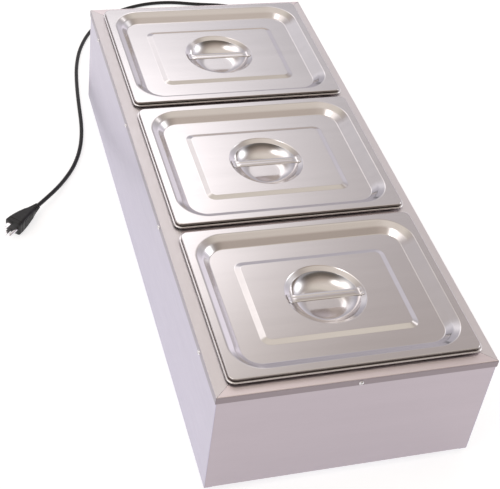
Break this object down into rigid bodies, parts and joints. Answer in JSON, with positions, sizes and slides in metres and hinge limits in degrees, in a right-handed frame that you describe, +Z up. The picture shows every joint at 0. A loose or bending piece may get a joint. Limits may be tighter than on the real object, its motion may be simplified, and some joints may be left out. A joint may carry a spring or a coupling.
{
  "type": "electric buffet server",
  "caption": "Long stainless countertop food warmer: heated water tank in a box on rubber feet, lift-out pans with recessed strap-handled lids, thermostat, switch and mains cord.",
  "frame": {"origin": "centre of the server's outline on the floor, measured without the cord, its gland and its plug", "axes": "+X along the box towards the end with the controls and the cord, +Y across the box towards the rear, +Z up"},
  "size_m": [1.1588, 0.5688, 0.191],
  "materials": {
    "body_steel": "straight brushed grain, satin",
    "pan_steel": "bright rolled, satin",
    "lid_steel": "fine polished, slightly hazy",
    "fastener_steel": "plain plated",
    "dial_aluminium": "satin",
    "foot_rubber": "matte black",
    "heater_sheath": "dull, heat tinted",
    "seal_rubber": "red-brown silicone",
    "brass": "plain",
    "wool": "loose fibre",
    "cord_jacket": "semi-matte black",
    "moulded_rubber": "semi-matte black",
    "black_plastic": "moulded, slightly glossy",
    "control_plastic": "moulded, matte",
    "block_plastic": "moulded, matte",
    "lamp_lens": "translucent amber",
    "copper": "plain copper tube",
    "live_jacket": "black",
    "neutral_jacket": "white",
    "earth_jacket": "green"
  },
  "bodies": {
    "base": {"base_plate": "body_steel", "base_screws": "fastener_steel", "cord_strain_relief": "moulded_rubber", "dial_plate": "dial_aluminium", "dial_screws": "fastener_steel", "divider_bar_left": "body_steel", "divider_bar_right": "body_steel", "earth_stud": "fastener_steel", "earth_wire": "earth_jacket", "foot_1": "foot_rubber", "foot_2": "foot_rubber", "foot_3": "foot_rubber", "foot_4": "foot_rubber", "foot_nuts": "fastener_steel", "foot_screws": "fastener_steel", "front_panel": "body_steel", "heater_bushes": "brass", "heater_nuts": "brass", "heater_seals": "seal_rubber", "heater_supports": "fastener_steel", "heating_element": "heater_sheath", "insulation": "wool", "left_end_panel": "body_steel", "live_wires": "live_jacket", "neutral_wire": "neutral_jacket", "pilot_lamp_body": "control_plastic", "pilot_lamp_lens": "lamp_lens", "plug_blades": "brass", "plug_body": "moulded_rubber", "plug_earth_pin": "brass", "power_cord": "cord_jacket", "rail_screws": "fastener_steel", "rear_panel": "body_steel", "right_end_panel": "body_steel", "rocker_pin": "fastener_steel", "supply_lead": "cord_jacket", "switch_housing": "black_plastic", "terminal_block": "block_plastic", "thermal_cutout": "control_plastic", "thermostat_body": "control_plastic", "thermostat_bulb": "copper", "top_rail_front": "body_steel", "top_rail_left": "body_steel", "top_rail_rear": "body_steel", "top_rail_right": "body_steel", "water_tank": "body_steel"},
    "pan_left": {"pan_left": "pan_steel"},
    "lid_left": {"lid_left": "lid_steel", "lid_handle_left": "lid_steel"},
    "pan_middle": {"pan_middle": "pan_steel"},
    "lid_middle": {"lid_middle": "lid_steel", "lid_handle_middle": "lid_steel"},
    "pan_right": {"pan_right": "pan_steel"},
    "lid_right": {"lid_right": "lid_steel", "lid_handle_right": "lid_steel"},
    "knob": {"control_knob": "black_plastic", "thermostat_shaft": "fastener_steel"},
    "rocker": {"rocker_button": "black_plastic"}
  },
  "joints": [
    {"name": "pan_left_lift", "type": "slide", "parent": "base", "child": "pan_left", "axis": [0, 0, 1], "range_m": [0, 0.15]},
    {"name": "pan_middle_lift", "type": "slide", "parent": "base", "child": "pan_middle", "axis": [0, 0, 1], "range_m": [0, 0.15]},
    {"name": "pan_right_lift", "type": "slide", "parent": "base", "child": "pan_right", "axis": [0, 0, 1], "range_m": [0, 0.15]},
    {"name": "lid_left_lift", "type": "slide", "parent": "pan_left", "child": "lid_left", "axis": [0, 0, 1], "range_m": [0, 0.12]},
    {"name": "lid_middle_lift", "type": "slide", "parent": "pan_middle", "child": "lid_middle", "axis": [0, 0, 1], "range_m": [0, 0.12]},
    {"name": "lid_right_lift", "type": "slide", "parent": "pan_right", "child": "lid_right", "axis": [0, 0, 1], "range_m": [0, 0.12]},
    {"name": "thermostat_turn", "type": "hinge", "parent": "base", "child": "knob", "pos_m": [0.424, 0.06, 0.04], "axis": [-1, 0, 0], "range_deg": [0, 270]},
    {"name": "power_rocker", "type": "hinge", "parent": "base", "child": "rocker", "pos_m": [0.41, -0.04, 0.04], "axis": [0, -1, 0], "range_deg": [0, 20]}
  ]
}
